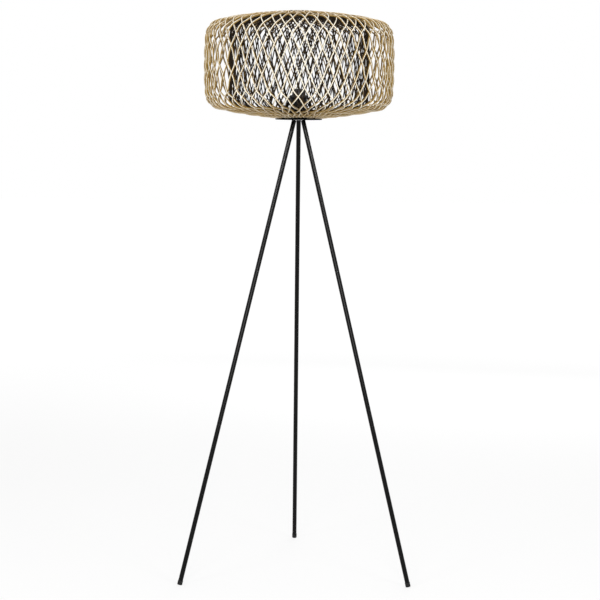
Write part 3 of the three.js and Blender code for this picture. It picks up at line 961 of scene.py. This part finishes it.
def strand_blank(drum, length, stations, rounding):
    """A straight strand: X across, Y outwards, Z along, with its outer edges rounded."""
    step = length / stations

    def outer_and_long(edge):
        first, last = (vertex.co for vertex in edge.verts)
        return min(first.y, last.y) > 0 and edge.calc_length() > step * 0.9 and abs(first.x - last.x) < HAIR

    clear_selection()
    bpy.ops.mesh.primitive_cube_add(size=1, location=(0, 0, step / 2))
    blank = bpy.context.object
    blank.scale = (drum.width, drum.thickness, step)
    apply_place(blank)
    edit(blank, "FACE")
    pick(blank, "faces", lambda face: abs(face.normal.z) > 0.9)
    bpy.ops.mesh.delete(type="FACE")
    bpy.ops.mesh.select_mode(type="EDGE")
    pick(blank, "edges", outer_and_long)
    rounded = drum.width * 0.4
    bpy.ops.mesh.bevel(offset=rounded, segments=rounding, affect="EDGES")
    leave()
    with_modifier(
        blank,
        "ARRAY",
        count=stations,
        use_relative_offset=False,
        use_constant_offset=True,
        constant_offset_displace=(0, 0, step),
        use_merge_vertices=True,
        merge_threshold=HAIR,
    )
    edit(blank, "EDGE")
    bpy.ops.mesh.select_all(action="SELECT")
    bpy.ops.mesh.fill_holes(sides=0)
    bpy.ops.mesh.normals_make_consistent(inside=False)
    leave()
    only(blank)
    bpy.ops.object.shade_smooth_by_angle(angle=math.radians(50))
    skin = blank.data.attributes.new("skin", "FLOAT", "POINT")
    heights = np.empty(len(blank.data.vertices) * 3)
    blank.data.vertices.foreach_get("co", heights)
    skin.data.foreach_set("value", np.clip(heights[1::3] / drum.thickness + 0.5, 0.0, 1.0))
    blank.data.uv_layers.new(name="strand")
    return blank


def wound(blank, path, drum, angle, direction, number, dice):
    """A copy of the blank, laid on the drum over one strand and under the next."""
    strand = copied(blank, f"strand_{direction}_{number}")
    mesh = strand.data
    flat = np.empty(len(mesh.vertices) * 3)
    mesh.vertices.foreach_get("co", flat)
    across, outwards, along = flat.reshape(-1, 3).T
    corners = np.empty(len(mesh.loops), dtype=np.int32)
    mesh.loops.foreach_get("vertex_index", corners)
    middle, map_width = number + 0.5, 0.8
    places = np.stack([along + dice.uniform(0, 9), middle + map_width * across / drum.width], axis=1)
    mesh.uv_layers["strand"].data.foreach_set("uv", places[corners].ravel())

    share = path.distance / path.length
    stray = sum(
        dice.uniform(-1, 1) / waves**0.7 * np.sin(FULL_TURN * (waves * share * 0.5 + dice.uniform(0, 1)))
        for waves in (1, 2, 3, 5)
    )
    stray *= np.sin(math.pi * share) ** 0.7 * drum.unevenness / drum.radius
    crossing = math.pi / drum.strands
    turn = angle + direction * (path.turn - path.turn[-1] / 2) + stray
    lean = np.arctan(path.radius * np.gradient(turn, path.distance))
    from_end = np.minimum(path.distance, path.length - path.distance)
    freedom = np.clip(from_end / HELD_LENGTH, HELD_LIFT, 1.0)
    lift = direction * drum.thickness * LIFT * freedom * np.cos(math.pi * path.turn / crossing)

    def at(values):
        return np.interp(along, path.distance, values)

    turn, lean, run, rise = at(turn), at(lean), at(path.run), at(path.rise)
    offset = outwards + at(lift)
    sideways = -across * np.cos(lean)
    onwards = across * np.sin(lean)
    radius = at(path.radius) + offset * rise + onwards * run
    height = at(path.height) - offset * run + onwards * rise
    x = LAMP_AXIS.x + radius * np.cos(turn) - sideways * np.sin(turn)
    y = LAMP_AXIS.y + radius * np.sin(turn) + sideways * np.cos(turn)
    mesh.vertices.foreach_set("co", np.stack([x, y, SHADE_MIDDLE + height], axis=1).ravel())
    mesh.update()
    return strand


def woven(name, drum, direction, stations, rounding, seed):
    """All the strands of a drum that wind one way, as one piece."""
    path = StrandPath(drum, stations * 4 + 1)
    blank = strand_blank(drum, path.length, stations, rounding)
    dice = np.random.default_rng(seed)
    step = FULL_TURN / drum.strands
    start = 0.0 if direction > 0 else -path.turn[-1]
    strands = []
    for number in range(drum.strands):
        angle = start + step * (number + dice.uniform(-SHIFT, SHIFT))
        strands.append(wound(blank, path, drum, angle, direction, number, dice))
    bpy.data.objects.remove(blank)
    return joined(name, strands)


class LAMP_OT_outer_drum(bpy.types.Operator):
    """Weaves the natural outer drum of the shade"""

    bl_idname = "lamp.outer_drum"
    bl_label = "Outer drum"

    def execute(self, context):
        drum = context.scene.lamp_outer_drum
        for direction, name, seed in ((1, "outer_strands_leftward", 11), (-1, "outer_strands_rightward", 12)):
            piece = woven(name, drum, direction, stations=76, rounding=2, seed=seed)
            settle(piece, "shade", "natural_cane", "outer_weave")
        return {"FINISHED"}


class LAMP_OT_inner_drum(bpy.types.Operator):
    """Weaves the black inner drum of the shade"""

    bl_idname = "lamp.inner_drum"
    bl_label = "Inner drum"

    def execute(self, context):
        drum = context.scene.lamp_inner_drum
        for direction, name, seed in ((1, "inner_strands_leftward", 21), (-1, "inner_strands_rightward", 22)):
            piece = woven(name, drum, direction, stations=60, rounding=1, seed=seed)
            settle(piece, "shade", "black_cane", "inner_weave")
        return {"FINISHED"}


# Steel of the shade.


def carrier_arm(metal, seat_low, seat_high, foot):
    start = metal.seat_radius - metal.sheet
    outline = [
        (start, seat_low),
        (metal.arm_bend, seat_low),
        (metal.arm_foot, foot),
        (metal.arm_foot + metal.sheet, foot),
        (metal.arm_bend + metal.sheet, seat_high),
        (start, seat_high),
    ]
    arm = cut_from_sheet("carrier_arm", outline, metal.arm_width)
    eased(arm, FINE_EDGE, angle=15)
    tidy(arm)
    return arm


class LAMP_OT_shade_metal(bpy.types.Operator):
    """Makes the shade's carrier and its top ring"""

    bl_idname = "lamp.shade_metal"
    bl_label = "Shade rings"

    def execute(self, context):
        metal = context.scene.lamp_shade_metal
        low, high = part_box("shade_carrier")
        flange_top = low.z + metal.sheet
        inner = metal.collar_radius - metal.sheet
        flange = turned(
            "carrier_flange",
            [
                (metal.flange_bore, low.z),
                (metal.flange_radius, low.z),
                (metal.flange_radius, flange_top),
                (metal.collar_radius, flange_top),
                (metal.collar_radius, flange_top + metal.collar_height),
                (inner, flange_top + metal.collar_height),
                (inner, flange_top),
                (metal.flange_bore, flange_top),
            ],
            96,
        )
        eased(flange, EDGE)
        seat_low = high.z - metal.sheet
        seat_bore, seat_rim = metal.seat_bore, metal.seat_radius
        seat = turned(
            "carrier_seat",
            [(seat_bore, seat_low), (seat_rim, seat_low), (seat_rim, high.z), (seat_bore, high.z)],
            64,
        )
        eased(seat, FINE_EDGE)
        sunk = metal.sheet / 3  # of an arm's foot, welded into the flange
        first = carrier_arm(metal, seat_low, high.z, flange_top - sunk)
        arms = [first] + [copied(first, f"carrier_arm_{i}") for i in range(1, metal.arms)]
        for i, arm in enumerate(arms):
            set_down(arm, Matrix.Rotation(math.pi / 2 + (i + 0.5) * FULL_TURN / metal.arms, 4, "Z"))
        carrier = joined("carrier", [flange, seat, *arms])
        set_down(carrier, on_axis())
        only(carrier)
        bpy.ops.object.shade_smooth_by_angle(angle=math.radians(35))
        settle(carrier, "shade", "black_steel", "shade_carrier")

        low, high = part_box("shade_top_ring")
        flange_low = high.z - metal.sheet
        ring = turned(
            "top_ring",
            [
                (inner, low.z),
                (metal.collar_radius, low.z),
                (metal.collar_radius, flange_low),
                (metal.top_radius, flange_low),
                (metal.top_radius, high.z),
                (inner, high.z),
            ],
            96,
        )
        eased(ring, SOFT_EDGE, 3)
        tidy(ring)
        set_down(ring, on_axis())
        settle(ring, "shade", "black_steel", "shade_top_ring")
        return {"FINISHED"}


# Tripod.


def leg_matrix(azimuth, tripod):
    """A leg's own frame: it starts under the plate, and +Z runs down the leg."""
    splay = math.atan2(tripod.foot_circle - tripod.top_radius, PLATE_LOW.z)
    start = Matrix.Translation((tripod.top_radius, 0, PLATE_LOW.z))
    turn = Matrix.Rotation(math.radians(azimuth), 4, "Z")
    return on_axis() @ turn @ start @ Matrix.Rotation(math.pi - splay, 4, "Y"), splay


def leg_tube(tripod, start, length):
    bore = tripod.tube_radius - tripod.tube_wall
    profile = [
        (bore, start),
        (tripod.tube_radius, start),
        (tripod.tube_radius, start + length),
        (bore, start + length),
    ]
    tube = turned("leg_tube", profile, 40)
    eased(tube, tripod.rim, 3)
    tidy(tube, 50)
    return tube


def foot_cap(tripod, end):
    """Rubber cap with a plug for the tube, a slim lip and a rounded end."""
    radius, top = tripod.foot_radius, end - tripod.foot_height
    play, chamfer, step, corner = 0.0001, 0.0005, 0.0002, 0.002
    plug = tripod.tube_radius - tripod.tube_wall - play
    lip = tripod.foot_height * 0.14
    wall = radius - step
    round_start = end - corner - step
    profile = [
        (0.0, top - tripod.foot_plug),
        (plug, top - tripod.foot_plug),
        (plug, top),
        (radius - chamfer, top),
        (radius, top + chamfer),
        (radius, top + lip),
        (wall, top + lip + 2 * step),
        (wall, round_start),
        *arc((wall - corner, round_start), corner, 0, 90, 6),
        (0.0, end),
    ]
    return turned("foot_cap", profile, 40, closed=False, smooth=50)


def trimmed_at_floor(piece):
    edit(piece)
    bpy.ops.mesh.select_all(action="SELECT")
    bpy.ops.mesh.bisect(plane_co=(0, 0, 0), plane_no=(0, 0, -1), use_fill=True, clear_outer=True)
    leave()
    tidy(piece, 50)


class LAMP_OT_tripod(bpy.types.Operator):
    """Makes the hub plate, the leg tubes and the foot caps"""

    bl_idname = "lamp.tripod"
    bl_label = "Tripod"

    def execute(self, context):
        tripod = context.scene.lamp_tripod
        _, splay = leg_matrix(0, tripod)
        end = (PLATE_LOW.z - tripod.foot_drop) / math.cos(splay)
        gap = tripod.joint_gap
        start = tripod.tube_radius * math.tan(splay) + gap / math.cos(splay)
        whole = end - tripod.foot_height - gap - start
        length = (whole - (tripod.sections - 1) * gap) / tripod.sections
        tube = leg_tube(tripod, 0.0, length)
        cap = foot_cap(tripod, end)
        for side, azimuth in SIDES.items():
            matrix, _ = leg_matrix(azimuth, tripod)
            for i, section in enumerate(("upper", "middle", "lower")):
                piece = copied(tube, f"{section}_tube_{side}")
                set_down(piece, matrix @ Matrix.Translation((0, 0, start + i * (length + gap))))
                settle(piece, "stand", "black_steel", f"leg_{section}_tube_{side}")
            foot = copied(cap, f"rubber_foot_{side}")
            set_down(foot, matrix)
            trimmed_at_floor(foot)
            settle(foot, "stand", "black_rubber", f"foot_cap_{side}")
        bpy.data.objects.remove(tube)
        bpy.data.objects.remove(cap)
        self.plate()
        return {"FINISHED"}

    def plate(self):
        """Round plate with a hole for the nipple and eased edges."""
        radius = (PLATE_HIGH.x - PLATE_LOW.x) / 2
        profile = [
            (NIPPLE_HOLE, PLATE_LOW.z),
            (radius, PLATE_LOW.z),
            (radius, PLATE_HIGH.z),
            (NIPPLE_HOLE, PLATE_HIGH.z),
        ]
        plate = turned("round_plate", profile, 128)
        eased(plate, SOFT_EDGE, 3)
        tidy(plate)
        set_down(plate, on_axis())
        settle(plate, "stand", "black_steel", "hub_plate")
        paint(plate, "matt_steel")


# Lamp holder.


def cup(holder):
    """Deep drawn cup with a rounded base and a rolled lip."""
    low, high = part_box("holder_cup")
    radius, wall, corner = holder.cup_radius, holder.cup_wall, holder.cup_corner
    centre = (radius - corner, low.z + corner)
    profile = [
        (NIPPLE_HOLE, low.z),
        *arc(centre, corner, -90, 0, 8),
        *arc((radius - wall / 2, high.z - wall / 2), wall / 2, 0, 180, 8),
        *arc(centre, corner - wall, 0, -90, 6),
        (NIPPLE_HOLE, low.z + wall),
    ]
    return turned("cup", profile, 80, smooth=40)


def barrel(holder):
    """Upper half of the holder: a flange, a smooth wall and a rounded rim, with an outside thread."""
    low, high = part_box("holder_barrel")
    flange = (high.x - low.x) / 2
    flange_height, rim, smooth_part = 0.003, 0.0012, 0.004
    thread_depth, thread_wall, thread_start = 0.0009, 0.0006, 0.0008
    top = low.z + flange_height
    wall = holder.barrel_radius - thread_wall
    profile = [
        (holder.barrel_bore, low.z),
        (flange, low.z),
        (flange, top),
        (wall, top),
        (wall, high.z - rim),
        (wall - rim, high.z),
        (holder.barrel_bore, high.z),
    ]
    body = turned("barrel_wall", profile, 80)
    eased(body, EDGE)
    pitch = holder.thread_pitch
    turns = int((high.z - top - smooth_part) / pitch) - 1
    thread = threaded_tube("barrel_thread", holder.barrel_radius, thread_depth, pitch, turns, 64)
    with_modifier(thread, "SOLIDIFY", thickness=thread_wall, offset=-1)
    set_down(thread, Matrix.Translation((0, 0, top + thread_start)))
    return joined("barrel", [body, thread])


def ring(holder):
    """Retaining ring with finger notches and eased edges."""
    low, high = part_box("retaining_ring")
    radius, bore, grips = holder.ring_radius, holder.ring_bore, holder.ring_grips
    outer_edge, inner_edge, notch_depth = 0.0008, 0.0006, 0.0012
    rim_depth = 0.001  # how far in the ring's rim counts as its outside
    profile = [
        (bore, low.z),
        (radius - outer_edge, low.z),
        (radius, low.z + outer_edge),
        (radius, high.z - outer_edge),
        (radius - outer_edge, high.z),
        (bore + inner_edge, high.z),
        (bore, high.z - inner_edge),
    ]
    piece = turned("ring", profile, grips * 8)
    for vertex in piece.data.vertices:
        from_axis = math.hypot(vertex.co.x, vertex.co.y)
        if from_axis > radius - rim_depth:
            wave = math.cos(grips * math.atan2(vertex.co.y, vertex.co.x))
            share = 1 - notch_depth * max(0.0, wave) ** 2 / from_axis
            vertex.co.x *= share
            vertex.co.y *= share
    tidy(piece, 40)
    return piece


def lamp_shell(holder):
    """Brass lamp shell with a rolled thread."""
    low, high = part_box("lamp_shell")
    depth, wall = 0.0008, 0.0004
    turns = int((high.z - low.z) / holder.shell_pitch) - 1
    piece = threaded_tube("shell", holder.shell_radius, depth, holder.shell_pitch, turns)
    with_modifier(piece, "SOLIDIFY", thickness=wall, offset=-1)
    tidy(piece, 60)
    set_down(piece, Matrix.Translation((0, 0, low.z)))
    return piece


class LAMP_OT_holder(bpy.types.Operator):
    """Makes the cup, the lamp holder's barrel, the lamp shell and the retaining ring"""

    bl_idname = "lamp.holder"
    bl_label = "Lamp holder"

    def execute(self, context):
        holder = context.scene.lamp_holder
        makes = (
            (cup, "holder_cup", "black_steel", "stand"),
            (barrel, "holder_barrel", "black_plastic", "stand"),
            (lamp_shell, "lamp_shell", "lamp_brass", "stand"),
            (ring, "retaining_ring", "black_plastic", "retaining_ring"),
        )
        for make, node, slot, body in makes:
            piece = make(holder)
            set_down(piece, on_axis())
            settle(piece, body, slot, node)
        return {"FINISHED"}


class LAMP_OT_finishes(bpy.types.Operator):
    """Gives every carried-over node its finish"""

    bl_idname = "lamp.finishes"
    bl_label = "Finishes"

    def execute(self, context):
        for part in frame["record"]["subparts"]:
            node = frame["nodes"][part["node"]]
            if not node.hide_render:
                paint(node, part["material_slot"])
        return {"FINISHED"}


# Studio.


LAMPS = (  # name, power setting, width and height, place
    ("key_lamp", "key_power", (1.6, 0.2), (-0.3, -3.9, 2.25)),
    ("front_lamp", "front_power", (2.2, 0.8), (-0.2, -3.9, 1.35)),
    ("right_lamp", "fill_power", (1.0, 0.3), (2.2, -3.0, 2.5)),
    ("left_lamp", "fill_power", (1.0, 0.3), (-2.5, -3.0, 2.6)),
    ("top_lamp", "top_power", (2.0, 2.0), (0.3, 0.8, 3.4)),
    ("back_lamp", "back_power", (2.0, 1.2), (0.9, 3.6, 1.9)),
)
SENSOR_WIDTH = 36.0  # of the camera, in millimetres
FLOOR_SIZE = 60.0


def soft_lamp(name, power, size, place):
    """A rectangular lamp that faces the middle of the shade."""
    clear_selection()
    bpy.ops.object.light_add(type="AREA", location=place)
    lamp = bpy.context.object
    lamp.name = name
    lamp.data.shape = "RECTANGLE"
    lamp.data.size, lamp.data.size_y = size
    lamp.data.energy = power
    target = Vector((LAMP_AXIS.x, LAMP_AXIS.y, SHADE_MIDDLE))
    lamp.rotation_euler = (target - Vector(place)).to_track_quat("-Z", "Y").to_euler()


class LAMP_OT_studio(bpy.types.Operator):
    """Sets up the camera, the lamps, the floor and the white surroundings"""

    bl_idname = "lamp.studio"
    bl_label = "Studio"

    def execute(self, context):
        studio = context.scene.lamp_studio
        clear_selection()
        bpy.ops.object.camera_add()
        camera = bpy.context.object
        camera.name = "studio_camera"
        camera.data.lens = studio.lens
        camera.data.sensor_width = SENSOR_WIDTH
        camera.data.shift_y = studio.shift
        camera.matrix_world = (
            Matrix.Translation((LAMP_AXIS.x, LAMP_AXIS.y - studio.distance, studio.height))
            @ Matrix.Rotation(-studio.pan, 4, "Z")
            @ Matrix.Rotation(math.pi / 2 - studio.tilt, 4, "X")
            @ Matrix.Rotation(studio.roll, 4, "Z")
        )
        context.scene.camera = camera

        for name, power, size, place in LAMPS:
            soft_lamp(name, getattr(studio, power), size, place)

        bpy.ops.mesh.primitive_plane_add(size=FLOOR_SIZE, location=(0, 0, 0))
        floor = bpy.context.object
        floor.name = "studio_floor"
        paint(floor, "studio_floor")

        world = bpy.data.worlds.new("studio_surroundings")
        white_surroundings(Recipe(world))
        context.scene.world = world
        context.scene.view_settings.view_transform = "Standard"
        return {"FINISHED"}


class LAMP_PT_panel(bpy.types.Panel):
    """Lists the pieces of the lamp"""

    bl_idname = "LAMP_PT_panel"
    bl_label = "Floor Lamp"
    bl_space_type = "VIEW_3D"
    bl_region_type = "UI"
    bl_category = "Floor Lamp"

    def draw(self, context):
        for operator in OPERATORS:
            self.layout.operator(operator.bl_idname)
        for name, group in SETTINGS.items():
            box = self.layout.box()
            box.label(text=group.__doc__)
            settings = getattr(context.scene, name)
            for entry in group.__annotations__:
                box.prop(settings, entry)


OPERATORS = (
    LAMP_OT_studio,
    LAMP_OT_outer_drum,
    LAMP_OT_inner_drum,
    LAMP_OT_shade_metal,
    LAMP_OT_tripod,
    LAMP_OT_holder,
    LAMP_OT_finishes,
)
CLASSES = (*SETTINGS.values(), *OPERATORS, LAMP_PT_panel)


def register():
    for cls in CLASSES:
        bpy.utils.register_class(cls)
    for name, group in SETTINGS.items():
        setattr(bpy.types.Scene, name, PointerProperty(type=group))


def unregister():
    for name in SETTINGS:
        delattr(bpy.types.Scene, name)
    for cls in reversed(CLASSES):
        bpy.utils.unregister_class(cls)


def main():
    register()
    bpy.ops.lamp.studio()
    bpy.ops.lamp.outer_drum()
    bpy.ops.lamp.inner_drum()
    bpy.ops.lamp.shade_metal()
    bpy.ops.lamp.tripod()
    bpy.ops.lamp.holder()
    bpy.ops.lamp.finishes()
    bpy.context.view_layer.update()


if __name__ == "__main__":
    main()
